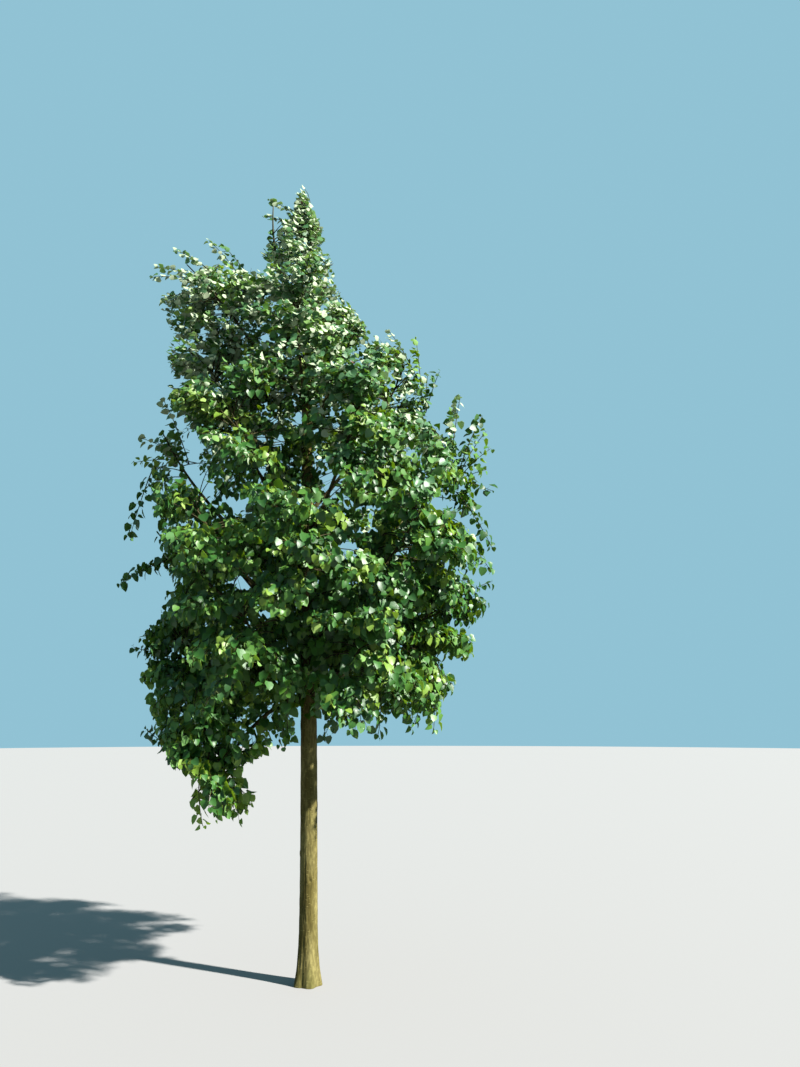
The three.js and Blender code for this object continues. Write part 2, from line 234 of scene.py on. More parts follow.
def feed(finish, step, inputs):
    """Give each input of a step of a finish its value, or what another step puts out."""
    for socket, value in inputs.items():
        if isinstance(value, bpy.types.NodeSocket):
            finish.node_tree.links.new(value, step.inputs[socket])
        else:
            step.inputs[socket].default_value = value


def add_step(finish, kind, inputs, **settings):
    step = finish.node_tree.nodes.new(kind)
    for key, value in settings.items():
        setattr(step, key, value)
    feed(finish, step, inputs)
    return step.outputs


def setting_in(finish, value, start, end):
    """From 0 to 1 as a value passes from start to end."""
    limits = {"Value": value, "From Min": start, "From Max": end}
    return add_step(finish, "ShaderNodeMapRange", limits, interpolation_type="SMOOTHSTEP")["Result"]


def worked_out(finish, operation, first, second=0.0):
    return add_step(finish, "ShaderNodeMath", {0: first, 1: second}, operation=operation)[0]


def blended(finish, share, under, over):
    """One colour over another."""
    return add_step(finish, "ShaderNodeMix", {0: share, 6: under, 7: over}, data_type="RGBA")[2]


def shaded(colour, factor):
    return (*(factor * part for part in colour), 1)


def bark_material(name, light, dark, stain, streaks, roughness, relief):
    """Thin bark: drawn-out streaks of two browns, a green bloom, pale pores of cork, and a dull skin."""
    bark, surface = new_finish(name)
    on_bark = add_step(bark, "ShaderNodeTexCoord", {})["Object"]

    def layer(fineness, detail, stretch, start, end):
        drawn = add_step(bark, "ShaderNodeMapping", {"Vector": on_bark, "Scale": (1, 1, stretch)})["Vector"]
        pattern = {"Scale": streaks * fineness, "Detail": detail, "Roughness": LAYER_BREAK_UP}
        depth = add_step(bark, "ShaderNodeTexNoise", {"Vector": drawn, **pattern})["Fac"]
        return depth, setting_in(bark, depth, start, end)

    _, broad = layer(*BROAD_STREAKS)
    crack_depth, crack = layer(*FINE_CRACKS)
    _, bloom = layer(*GREEN_BLOOM)
    at_pore = add_step(bark, "ShaderNodeMapping", {"Vector": on_bark, "Scale": PORE_SHAPE})["Vector"]
    pores = add_step(bark, "ShaderNodeTexVoronoi", {"Vector": at_pore, "Scale": streaks * PORE_FINENESS})
    pore = setting_in(bark, pores["Distance"], PORE_EDGE, PORE_CORE)

    colour = blended(bark, broad, shaded(dark, 1), shaded(light, 1))
    colour = blended(bark, worked_out(bark, "MULTIPLY", bloom, BLOOM_SHARE), colour, shaded(stain, 1))
    crack_share = worked_out(bark, "MULTIPLY", crack, CRACK_SHARE)
    colour = blended(bark, crack_share, colour, shaded(dark, CRACK_DARKNESS))
    pore_share = worked_out(bark, "MULTIPLY", pore, PORE_SHARE)
    colour = blended(bark, pore_share, colour, shaded(light, PORE_PALENESS))

    rough_range = {"To Min": roughness - BARK_SMOOTHEST, "To Max": roughness + BARK_ROUGHEST}
    rough = add_step(bark, "ShaderNodeMapRange", {"Value": crack_depth, **rough_range})["Result"]
    pore_height = worked_out(bark, "MULTIPLY", pore, PORE_HEIGHT)
    height = worked_out(bark, "ADD", pore_height, worked_out(bark, "MULTIPLY", crack_depth, CRACK_HEIGHT))
    bump = add_step(bark, "ShaderNodeBump", {"Strength": BARK_BUMP, "Distance": relief, "Height": height})
    feed(bark, surface, {"Base Color": colour, "Roughness": rough, "Normal": bump["Normal"]})
    feed(bark, surface, {"Specular IOR Level": BARK_SHINE})
    return bark


trunk_bark = bark_material(
    "trunk_bark",
    light=(0.126, 0.110, 0.040),
    dark=(0.052, 0.043, 0.011),
    stain=(0.056, 0.057, 0.015),
    streaks=11,
    roughness=0.86,
    relief=0.0016,
)

# Bearing and height of each pruned branch, and the radius of the lip that has grown over the cut.
PRUNING_SCARS = [
    (284, 0.62, 0.015),
    (196, 0.78, 0.012),
    (305, 0.99, 0.017),
    (241, 1.16, 0.014),
    (78, 0.88, 0.016),
    (136, 1.24, 0.014),
    (22, 1.08, 0.013),
    (262, 1.405, 0.020),
    (178, 1.60, 0.016),
    (338, 1.52, 0.014),
]
SCAR_LIP = 0.0032
SCAR_LIP_WIDTH = 0.45
SCAR_HOLLOW = 0.0045
SCAR_HOLLOW_WIDTH = 0.55
SCAR_TALLNESS = 1.35
SWELLING = 0.010
SWELLING_WIDTH = 0.030
SWELLING_HEIGHT = 0.050
SWELLING_RISE = 0.045
BARK_RIDGE = 0.0009
BARK_RIDGE_WINDING = 6
BARK_RIDGE_WAVES = 26
BROAD_RIDGE_SHARE = 1.6
BROAD_RIDGE_WINDING = 0.8
BROAD_RIDGE_WAVES = 7

trunk_turn, trunk_height = np.meshgrid(
    np.linspace(0, 2 * np.pi, TRUNK_SIDES, endpoint=False),
    TRUNK_HEIGHT * np.linspace(0, 1, TRUNK_RINGS + 1) ** RINGS_CLOSER_BELOW,
)
lobes = 1 + FLARE_LOBE_SHARE * np.cos(FLARE_LOBES * trunk_turn)
trunk_surface = trunk_radius(trunk_height) + FLARE_RADIUS * lobes * np.exp(-trunk_height / FLARE_HEIGHT)
fine_ridges = bark_grain(trunk_turn, BARK_RIDGE_WINDING * trunk_height, seed=41, waves=BARK_RIDGE_WAVES)
broad_ridges = bark_grain(trunk_turn, BROAD_RIDGE_WINDING * trunk_height, seed=47, waves=BROAD_RIDGE_WAVES)
trunk_surface += BARK_RIDGE * fine_ridges
trunk_surface += BROAD_RIDGE_SHARE * BARK_RIDGE * broad_ridges


def round_trunk(bearing, height):
    """How far every point of the bark lies from a spot on it: sideways and upwards."""
    turned = (trunk_turn - math.radians(bearing) + np.pi) % (2 * np.pi) - np.pi
    return turned * trunk_radius(height), trunk_height - height


for bearing, height, lip in PRUNING_SCARS:
    aside, above = round_trunk(bearing, height)
    away = np.hypot(aside, above / SCAR_TALLNESS)
    trunk_surface += SCAR_LIP * np.exp(-(((away - lip) / (SCAR_LIP_WIDTH * lip)) ** 2))
    trunk_surface -= SCAR_HOLLOW * np.exp(-((away / (SCAR_HOLLOW_WIDTH * lip)) ** 2))
for _, bearing, _, _, _, foot in MASSES:
    if foot:
        aside, above = round_trunk(bearing, foot + SWELLING_RISE)
        trunk_surface += SWELLING * np.exp(-((aside / SWELLING_WIDTH) ** 2) - (above / SWELLING_HEIGHT) ** 2)

trunk_points = trunk_at(trunk_height)
trunk_points[..., 0] += trunk_surface * np.cos(trunk_turn)
trunk_points[..., 1] += trunk_surface * np.sin(trunk_turn)
trunk_faces = ring_faces(TRUNK_RINGS + 1, TRUNK_SIDES)
trunk_mesh = joined_mesh("trunk_shell", trunk_points.reshape(-1, 3), *trunk_faces)
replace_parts(place("trunk_with_bark", trunk_mesh, trunk_bark), "trunk")


# The boughs: one tapering limb of young wood to each mass of foliage, with smoother and greener bark than the
# trunk's. Each grows out of the trunk through a collar of thicker wood, and ends where it enters its mass.
BOUGH_FOOT_SHARE = 0.36
BOUGH_FOOT_LEAST = 0.015
BOUGH_TIP_RADIUS = 0.011
BOUGH_TAPER_POWER = 0.8
BOUGH_COLLAR = 0.35
BOUGH_COLLAR_FADE = 12
BOUGH_ENTRY = 0.72
BOUGH_SAG = 0.1
BOUGH_ARCH = 0.3
BOUGH_SIDES = 14
BOUGH_STEPS = 30
BOUGH_RIDGE = 0.0007
BOUGH_RIDGE_WINDING = 5
BOUGH_RIDGE_WAVES = 12
BOUGH_RIDGE_SEED = 60
LEADER_OVERLAP = 0.06
LEADER_SLEEVE = 1.01
UP = np.array([0.0, 0.0, 1.0])

# A mass is deeper towards the trunk. Neighbouring masses run together, the more so the lower the closeness.
INWARD_SHARE = 1.25
CROWN_CLOSENESS = 4.5
LEAST_SHARE = 0.05

# The topmost masses narrow upwards and lean with the wind: the width half way up, how fast it shrinks, the
# least it comes to, how far the mass is set aside, and how far it leans from there to its top.
POINTED = {
    "leader": (0.95, 1.2, 0.26, 0.0, -0.06),
    "leader_side": (0.55, 0.5, 0.22, 0.13, -0.14),
    "upper_left": (0.9, 0.3, 0.5, -0.04, -0.12),
    "upper_right": (0.9, 0.5, 0.4, 0.0, -0.06),
    "right_shoulder": (0.95, 0.35, 0.5, 0.0, -0.05),
}


def unit(vectors):
    return vectors / np.maximum(np.linalg.norm(vectors, axis=-1, keepdims=True), 1e-9)


class Room:
    """The egg-shaped space in the crown that one mass of foliage keeps to. It is deeper towards the trunk."""

    def __init__(self, seed, name, bearing, reach, height, size, foot):
        angle = math.radians(bearing)
        self.seed, self.name, self.size, self.foot = seed, name, size, foot
        self.point = POINTED.get(name, (1, 0, 1, 0, 0))
        self.out = np.array([math.cos(angle), math.sin(angle), 0.0])
        self.across = np.cross(UP, self.out)
        self.middle = trunk_at(height) + self.out * reach
        self.hangs = foot is not None and height < foot

    def point_at(self, turn, rise, share):
        """The place at a share of the way out to the room's edge, and the least that its width shrinks to."""
        width, shrinking, least, aside, lean = self.point
        level = math.sqrt(1 - rise * rise) * np.clip(width - shrinking * share * rise, least, 1)
        depth = self.size[0] * (INWARD_SHARE if math.cos(turn) < 0 else 1)
        return (
            self.middle
            + share * depth * level * math.cos(turn) * self.out
            + share * self.size[1] * level * math.sin(turn) * self.across
            + share * self.size[2] * rise * UP
            + np.array([aside + lean * np.clip(share * rise, -1, 1), 0, 0])
        )


rooms = [Room(number, *mass) for number, mass in enumerate(MASSES, start=1)]
room_middles = np.array([room.middle for room in rooms])
room_outs = np.array([room.out for room in rooms])
room_acrosses = np.array([room.across for room in rooms])
room_sizes = np.array([room.size for room in rooms])
room_points = np.array([room.point for room in rooms])


def room_shares(points):
    """How far out points lie in each room: 0 at its middle, 1 at its edge."""
    offset = np.asarray(points)[..., None, :] - room_middles
    rise = offset[..., 2] / room_sizes[:, 2]
    width, shrinking, least, aside, lean = room_points.T
    width = np.clip(width - shrinking * rise, least, 1)
    offset[..., 0] -= aside + lean * np.clip(rise, -1, 1)
    outwards = np.sum(offset * room_outs, axis=-1) / width
    depth = np.where(outwards < 0, room_sizes[:, 0] * INWARD_SHARE, room_sizes[:, 0])
    sideways = np.sum(offset * room_acrosses, axis=-1) / room_sizes[:, 1] / width
    return np.sqrt((outwards / depth) ** 2 + sideways**2 + rise**2)


def crown_share(points):
    """How far out points lie in the whole crown, where neighbouring rooms run together: 1 at its edge."""
    nearness = np.maximum(room_shares(points), LEAST_SHARE) ** -CROWN_CLOSENESS
    return np.sum(nearness, axis=-1) ** (-1 / CROWN_CLOSENESS)


CURVE_SAMPLES = 65


def curve_through(start, bend, end, steps):
    """A limb's line from start to end, pulled towards bend, in steps of equal length."""
    t = np.linspace(0, 1, CURVE_SAMPLES)[:, None]
    fine = (1 - t) ** 2 * start + 2 * t * (1 - t) * bend + t**2 * end
    run = np.concatenate([[0], np.cumsum(np.linalg.norm(np.diff(fine, axis=0), axis=1))])
    even = np.linspace(0, run[-1], steps + 1)
    return np.stack([np.interp(even, run, fine[:, axis]) for axis in range(3)], axis=1)


def limb_frames(paths):
    """The heading of each limb at each of its points, and two directions square to it."""
    heading = unit(np.gradient(paths, axis=1))
    run = np.abs(paths[:, -1] - paths[:, 0])
    guide = np.eye(3)[np.argmin(run, axis=1)][:, None]
    across = unit(np.cross(heading, guide))
    return heading, across, np.cross(across, heading)


def limb_rings(paths, radii, sides, ridge=0.0):
    """The points of round shells along many limbs, in rings from the foot of each to its tip."""
    _, across, above = limb_frames(paths)
    turn = np.arange(sides) * 2 * np.pi / sides
    radius = np.broadcast_to(radii[..., None], (*radii.shape, sides)) + ridge
    offset = np.cos(turn)[:, None] * across[:, :, None] + np.sin(turn)[:, None] * above[:, :, None]
    return (paths[:, :, None] + radius[..., None] * offset).reshape(-1, 3)


bough_bark = bark_material(
    "bough_bark",
    light=(0.085, 0.078, 0.032),
    dark=(0.026, 0.022, 0.008),
    stain=(0.032, 0.040, 0.010),
    streaks=19,
    roughness=0.8,
    relief=0.0009,
)

leader_foot = TRUNK_HEIGHT - LEADER_OVERLAP
limb_ends = {"leader": (trunk_at(leader_foot), UP, float(trunk_radius(leader_foot)) * LEADER_SLEEVE)}
bough_paths = {}
for room in rooms:
    if room.foot is None:
        continue
    start = trunk_at(room.foot)
    inward = unit(start - room.middle)
    end = room.middle + inward * BOUGH_ENTRY / room_shares(room.middle + inward)[room.seed - 1]
    lift = BOUGH_ARCH if room.hangs else -BOUGH_SAG
    bend = (start + end) / 2 + UP * lift * np.linalg.norm(end - start)
    path = curve_through(start, bend, end, BOUGH_STEPS)
    foot_radius = max(BOUGH_FOOT_LEAST, float(trunk_radius(room.foot)) * BOUGH_FOOT_SHARE)
    along = np.linspace(0, 1, BOUGH_STEPS + 1)
    radii = foot_radius + (BOUGH_TIP_RADIUS - foot_radius) * along**BOUGH_TAPER_POWER
    radii *= 1 + BOUGH_COLLAR * np.exp(-along * BOUGH_COLLAR_FADE)
    turn, reach = np.meshgrid(np.arange(BOUGH_SIDES) * 2 * np.pi / BOUGH_SIDES, along)
    ridges = bark_grain(turn, BOUGH_RIDGE_WINDING * reach, BOUGH_RIDGE_SEED + room.seed, BOUGH_RIDGE_WAVES)
    shell = limb_rings(path[None], radii[None], BOUGH_SIDES, BOUGH_RIDGE * ridges[None])
    bough_mesh = joined_mesh(f"bough_{room.name}_shell", shell, *ring_faces(BOUGH_STEPS + 1, BOUGH_SIDES))
    bough = place(f"bough_{room.name}_with_bark", bough_mesh, bough_bark)
    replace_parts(bough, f"bough_{room.name}")
    limb_ends[room.name] = (path[-1], unit(path[-1] - path[-2]), BOUGH_TIP_RADIUS)
    bough_paths[room] = path


# The twigs: each bough, and the trunk at its top, runs on as a stem through its mass. Twigs leave the stem
# all round by the golden angle. They carry the year's side shoots, thin and red-brown, left and right.
LEAF_MASS_NODES = [f"leaves_{mass[0]}" for mass in MASSES]
STEM_TIP_RADIUS = 0.004
STEM_REACH = 0.5
STEM_RISE = 0.9
STEM_BEND = 0.45
STEM_STEPS = 8
STEM_SIDES = 8
TWIG_TURN = math.radians(137.5)
TWIG_TURN_UNEVEN = 0.5
TWIG_AREA = 0.108
TWIG_LONGEST = 1.3
TWIG_SHORTEST = 0.3
TWIG_SHORTER = 0.04
TWIG_TIP_EDGE = 0.97
TWIG_TIP_UNEVEN = 0.15
TWIG_TIP_SEED = 50
TWIG_FIRST = 0.08
TWIG_LAST = 0.85
TWIG_FOOT_RADIUS = 0.0045
TWIG_TIP_RADIUS = 0.0018
TWIG_STEPS = 6
TWIG_SIDES = 5
TWIG_STEPS_OVER_OPENING = 2
WING_STEPS_OVER_OPENING = 1
TWIG_WITH_STEM = 0.16
TWIG_ARCH = 0.14
DROOPING_BELOW = 2.4
RISING_ABOVE = 4.2
WIND_FROM_HEIGHT = 3.0
WIND_FULL_HEIGHT = 4.65
WIND_BOW = np.array([1.0, 0, 1.6])
WIND_BOW_SHARE = 0.16

# Where a mass holds more or fewer twigs than its size asks for.
CROWDING = {
    "leader": 1.9,
    "upper_left": 2.6,
    "upper_front": 1.3,
    "upper_back": 1.2,
    "mid_left": 1.7,
    "mid_front_left": 1.3,
    "mid_front_right": 1.2,
    "right_shoulder": 1.2,
    "right": 1.4,
    "left_wing": 0.54,
    "left": 0.65,
    "hanging_left": 1.9,
    "lower_left": 1.2,
    "lower_right": 1.5,
}
SHOOT_SPACING = 0.074
SHOOT_LONGEST = 0.30
SHOOT_SHORTEST = 0.10
SHOOT_LEAST = 0.06
SHOOT_FIRST = 0.22
SHOOT_REGION = 0.74
SHOOT_AHEAD = 0.75
SHOOT_ASIDE = 0.8
SHOOT_RISE = 0.3
SHOOT_UNEVEN = 0.9
SHOOT_ARCH = 0.12
SHOOT_LENGTH_LEAST = 0.75
SHOOT_LENGTH_UNEVEN = 0.5
SHOOT_CUT_BACK = 0.8
SHOOT_FOOT_RADIUS = 0.0022
SHOOT_TIP_RADIUS = 0.0010
SHOOT_STEPS = 3
SHOOT_SIDES = 3
SEEDS_IN_A_ROOM = 100

# The crown's edge as it is seen from the front, in the plane of the trunk: height, left edge and right edge.
# Wind and light have shaped it unevenly, so no tip grows far beyond it.
CROWN_EDGE = [
    (5.85, -0.21, -0.17),
    (5.70, -0.24, -0.16),
    (5.60, -0.28, -0.10),
    (5.40, -0.36, -0.02),
    (5.30, -0.40, 0.01),
    (5.20, -0.66, 0.045),
    (5.05, -0.94, 0.08),
    (4.95, -1.14, 0.10),
    (4.80, -1.27, 0.165),
    (4.65, -1.22, 0.255),
    (4.50, -1.16, 0.42),
    (4.30, -1.15, 0.64),
    (4.10, -1.14, 0.74),
    (3.90, -1.11, 0.77),
    (3.76, -1.02, 0.82),
    (3.66, -1.20, 0.90),
    (3.30, -1.25, 1.10),
    (3.00, -1.13, 1.18),
    (2.75, -1.11, 1.22),
    (2.60, -1.04, 1.22),
    (2.45, -1.06, 1.21),
    (2.20, -1.21, 1.12),
    (1.95, -1.20, 1.02),
    (1.70, -1.12, 0.86),
    (1.42, -1.00, 0.60),
    (1.34, -0.94, 0.40),
    (1.24, -0.74, 0.20),
    (0.95, -0.68, -0.40),
    (0.90, -0.50, -0.45),
]
CROWN_EDGE_UNEVEN = 0.05
OPENING_LEAST = 0.4
OPENING_UNEVEN = 1.3

# Where the crown is open, in the same plane: the middle of each opening, and half its width and height.
CROWN_OPENINGS = [
    (-0.62, 5.30, 0.13, 0.20),
    (-0.53, 5.12, 0.07, 0.06),
    (-1.13, 4.90, 0.04, 0.06),
    (-0.92, 4.52, 0.03, 0.05),
    (0.66, 4.32, 0.035, 0.08),
    (-0.21, 3.93, 0.02, 0.04),
    (-0.17, 3.82, 0.04, 0.06),
    (-0.35, 3.80, 0.03, 0.05),
    (0.10, 3.76, 0.04, 0.03),
    (0.20, 3.80, 0.03, 0.02),
    (-0.05, 3.71, 0.03, 0.05),
    (-0.32, 3.64, 0.05, 0.06),
    (-0.43, 3.67, 0.05, 0.03),
    (-0.96, 3.54, 0.06, 0.20),
    (-0.91, 3.33, 0.09, 0.05),
    (-0.81, 3.25, 0.06, 0.06),
    (-0.42, 3.42, 0.04, 0.03),
    (0.08, 3.30, 0.09, 0.10),
    (0.00, 3.15, 0.04, 0.05),
    (-0.16, 3.16, 0.03, 0.04),
    (-0.53, 3.08, 0.03, 0.04),
    (0.88, 3.16, 0.06, 0.06),
    (1.05, 3.04, 0.06, 0.06),
    (0.22, 2.83, 0.09, 0.05),
    (-0.53, 2.58, 0.08, 0.06),
    (0.99, 1.98, 0.11, 0.08),
    (-0.34, 1.30, 0.11, 0.09),
]


def seen_at(points):
    """Where points stand in the plane of the trunk as the eye sees them: to the right, and upwards."""
    eye = np.array(EYE)
    away = np.asarray(points) - eye
    seen = eye + away * (-eye[1] / away[..., 1:2])
    return seen[..., 0], seen[..., 2]


def inside_edge(points, margin=0.0):
    """Whether points lie within the crown's edge as it is seen from the front."""
    aside, height = seen_at(points)
    heights, left, right = np.array(CROWN_EDGE[::-1]).T
    inside_left = aside >= np.interp(height, heights, left) - margin
    return inside_left & (aside <= np.interp(height, heights, right) + margin)


def in_opening(points, stretch=1.0):
    """Whether points lie in one of the openings, or in one whose area is stretched by some factor."""
    aside, height = seen_at(points)
    inside_each = [
        ((aside - x) / half_width) ** 2 + ((height - z) / half_height) ** 2 < stretch
        for x, z, half_width, half_height in CROWN_OPENINGS
    ]
    return np.any(inside_each, axis=0)


def spread(number):
    """The binary digits of a whole number mirrored behind the point."""
    value, digit = 0.0, 0.5
    while number:
        value += (number % 2) * digit
        number //= 2
        digit /= 2
    return value


def in_crown(point, edge=1.0):
    return crown_share(point) <= edge and inside_edge(point)


def keeps_to(room, point, edge):
    """A twig's tip keeps to its mass when it lies inside the crown, and no neighbour's middle is nearer."""
    return in_crown(point, edge) and np.argmin(room_shares(point)) == room.seed - 1


def rising(height):
    """-1 low in the crown, where shoots droop, to 1 near its top, where they climb."""
    return float(np.clip(2 * (height - DROOPING_BELOW) / (RISING_ABOVE - DROOPING_BELOW) - 1, -1, 1))


def wind_at(height):
    """0 in the sheltered lower crown, to 1 near the top, where the wind bows every twig over to the left."""
    return np.clip((height - WIND_FROM_HEIGHT) / (WIND_FULL_HEIGHT - WIND_FROM_HEIGHT), 0, 1)


def along_path(path, share):
    """The point at a share of the way along a limb, and the limb's heading there."""
    place_in = share * (len(path) - 1)
    step = min(int(place_in), len(path) - 2)
    return path[step] + (path[step + 1] - path[step]) * (place_in - step), unit(path[step + 1] - path[step])


stem_paths, stem_radii, twig_paths, twig_rooms = [], [], [], []
shoot_paths, shoot_rooms = [], []
for room in rooms:
    tip, heading, radius = limb_ends[room.name]
    far = room.point_at(0, -STEM_RISE if room.hangs else STEM_RISE, STEM_REACH)
    stem = curve_through(tip, tip + heading * STEM_BEND * np.linalg.norm(far - tip), far, STEM_STEPS)
    stem_paths.append(stem)
    stem_radii.append(np.linspace(radius, STEM_TIP_RADIUS, STEM_STEPS + 1))
    out, across, up = room.size
    surface = 4 * math.pi * (out * across + across * up + up * out) / 3
    for number in range(1, round(surface * CROWDING.get(room.name, 1) / TWIG_AREA) + 1):
        turn = (number + TWIG_TURN_UNEVEN * float(chance(room.seed, number))) * TWIG_TURN
        rise = 1 - 2 * spread(number)
        foot, stem_heading = along_path(stem, TWIG_FIRST + (TWIG_LAST - TWIG_FIRST) * (0.5 + 0.5 * rise))
        share = TWIG_LONGEST
        edge = TWIG_TIP_EDGE - TWIG_TIP_UNEVEN * float(chance(room.seed + TWIG_TIP_SEED, number))
        while share > TWIG_SHORTEST and not keeps_to(room, room.point_at(turn, rise, share), edge):
            share -= TWIG_SHORTER
        if share <= TWIG_SHORTEST:
            continue
        end = room.point_at(turn, rise, share)
        length = np.linalg.norm(end - foot)
        pull = TWIG_WITH_STEM * stem_heading - TWIG_ARCH * rising(end[2]) * UP
        bend = foot + 0.5 * (end - foot) + length * pull
        bend = bend + WIND_BOW_SHARE * length * wind_at(end[2]) * WIND_BOW
        twig = curve_through(foot, bend, end, TWIG_STEPS)
        over_opening = in_opening(twig)
        most_steps = WING_STEPS_OVER_OPENING if room.name == "left_wing" else TWIG_STEPS_OVER_OPENING
        if over_opening[-2:].any() or over_opening.sum() > most_steps:
            continue
        twig_paths.append(twig)
        twig_rooms.append(room)
        shoot_count = int(length / SHOOT_SPACING)
        seed = room.seed * SEEDS_IN_A_ROOM + number
        for count in range(1, shoot_count + 1):
            share_on = SHOOT_FIRST + SHOOT_REGION * (count - float(chance(seed, count))) / shoot_count
            base, twig_heading = along_path(twig, share_on)
            side = unit(np.cross(twig_heading, UP)) * (1 if count % 2 else -1)
            shake = np.array([chance(seed + axis, count) for axis in (1, 2, 3)]) - 0.5
            direction = SHOOT_AHEAD * twig_heading + SHOOT_ASIDE * side + SHOOT_RISE * rising(base[2]) * UP
            direction = unit(direction + SHOOT_UNEVEN * shake)
            reach = SHOOT_LONGEST + (SHOOT_SHORTEST - SHOOT_LONGEST) * share_on
            reach *= SHOOT_LENGTH_LEAST + SHOOT_LENGTH_UNEVEN * float(chance(seed + 4, count))
            while reach > SHOOT_LEAST and not in_crown(base + reach * direction):
                reach *= SHOOT_CUT_BACK
            shoot_end = base + reach * direction
            if reach <= SHOOT_LEAST or in_opening(np.array([base, (base + shoot_end) / 2, shoot_end])).any():
                continue
            shoot_bend = base + 0.5 * reach * direction - SHOOT_ARCH * reach * rising(base[2]) * UP
            shoot_paths.append(curve_through(base, shoot_bend, shoot_end, SHOOT_STEPS))
            shoot_rooms.append(room)

# Short leafy spurs on the boughs and on the trunk fill the crown between its masses. The bough that arches
# over to the hanging mass carries more of them.
SPUR_SPACING = 0.085
SPUR_LONGEST = 0.26
SPUR_SHORTEST = 0.12
SPUR_FIRST = 0.3
SPUR_EDGE = 1.7
SPUR_AHEAD = 0.45
SPUR_RISE = 0.1
SPUR_ARCH = 0.1
SPUR_TURN_UNEVEN = 6
SPUR_TURN_SEED = 3
SPUR_LENGTH_SEED = 70
OFF_HEADING = 0.1
TRUNK_SPUR_SPACING = 0.022
TRUNK_SPUR_LOWEST = 1.64
ARCH_SPUR_SPACING = 0.024
ARCH_SPUR_FIRST = 0.1

spur_paths, spur_rooms = [], []


def grow_spur(room, base, heading, number):
    """One spur, unless its tip would stand out of the crown."""
    square, _ = np.linalg.qr(np.stack([heading, np.roll(heading, 1) + OFF_HEADING], axis=1))
    across, above = square[:, 1], np.cross(heading, square[:, 1])
    turn = number * TWIG_TURN + SPUR_TURN_UNEVEN * float(chance(room.seed, SPUR_TURN_SEED))
    direction = SPUR_AHEAD * heading + math.cos(turn) * across + math.sin(turn) * above
    direction = unit(direction + SPUR_RISE * UP)
    length_share = float(chance(room.seed + SPUR_LENGTH_SEED, number))
    reach = SPUR_SHORTEST + (SPUR_LONGEST - SPUR_SHORTEST) * length_share
    end = base + reach * direction
    if in_crown(end, SPUR_EDGE):
        bend = base + 0.5 * reach * direction - SPUR_ARCH * reach * rising(base[2]) * UP
        spur_paths.append(curve_through(base, bend, end, SHOOT_STEPS))
        spur_rooms.append(room)


for room, path in bough_paths.items():
    arching = room.name == "hanging_left"
    spacing, first = (ARCH_SPUR_SPACING, ARCH_SPUR_FIRST) if arching else (SPUR_SPACING, SPUR_FIRST)
    count = int(np.linalg.norm(path[-1] - path[0]) * (1 - first) / spacing)
    for number in range(count):
        base, heading = along_path(path, first + (1 - first) * (number + 0.5) / count)
        grow_spur(room, base, heading, number)
for number in range(int((TRUNK_HEIGHT - TRUNK_SPUR_LOWEST) / TRUNK_SPUR_SPACING)):
    grow_spur(rooms[0], trunk_at(TRUNK_SPUR_LOWEST + number * TRUNK_SPUR_SPACING), UP, number)

# Long single shoots stand out of the crown's edge: the mass that each grows from, and where its tip is.
LONG_SHOOTS = [
    ("leader", [(-0.45, 0.00, 5.68), (-0.49, 0.06, 5.57)]),
    ("upper_left", [(-1.30, 0.00, 5.08), (-1.19, 0.04, 5.25), (-0.90, -0.06, 5.27), (-0.78, -0.10, 5.20)]),
    ("upper_left", [(-1.29, -0.15, 4.90)]),
    ("upper_right", [(0.24, -0.05, 4.68)]),
    ("right_shoulder", [(0.50, 0.05, 4.56), (0.71, 0.00, 4.46), (0.80, 0.10, 4.22), (0.88, -0.10, 4.15)]),
    ("right", [(0.98, 0.12, 3.92), (1.04, 0.00, 4.00), (1.19, -0.10, 3.80), (1.22, -0.04, 3.70)]),
    ("right", [(1.24, -0.12, 3.54), (1.22, 0.00, 3.42), (1.23, -0.20, 3.20), (1.16, 0.05, 3.32)]),
    ("right", [(1.24, -0.10, 2.80), (1.23, -0.02, 2.66)]),
    ("lower_right", [(1.23, -0.05, 2.58), (1.06, -0.12, 2.16), (0.80, -0.38, 1.57), (0.66, -0.30, 1.58)]),
    ("left_wing", [(-1.18, 0.00, 3.96), (-1.33, 0.02, 3.67), (-1.34, -0.05, 3.46)]),
    ("mid_front_left", [(-0.51, -0.36, 3.12), (-0.38, -0.50, 3.20)]),
    ("mid_front_right", [(0.34, -0.50, 2.92)]),
    ("left_wing", [(-1.34, -0.04, 2.90)]),
    ("left", [(-1.39, 0.00, 2.58), (-1.34, 0.12, 2.68)]),
    ("lower_left", [(-1.24, -0.08, 2.12)]),
    ("hanging_left", [(-1.02, -0.40, 1.58), (-0.62, -0.42, 1.00), (-0.48, -0.45, 1.08)]),
    ("lower_front_left", [(-0.14, -0.16, 1.50), (-0.20, -0.05, 1.60)]),
    ("lower_front_right", [(0.08, -0.13, 1.52), (0.44, -0.22, 1.52)]),
]
LONG_SHOOT_LENGTH = 0.42
LONG_SHOOT_BOW = 0.12
LONG_SHOOT_WINDWARD = 0.35
LEVEL = np.array([1, 1, 0])

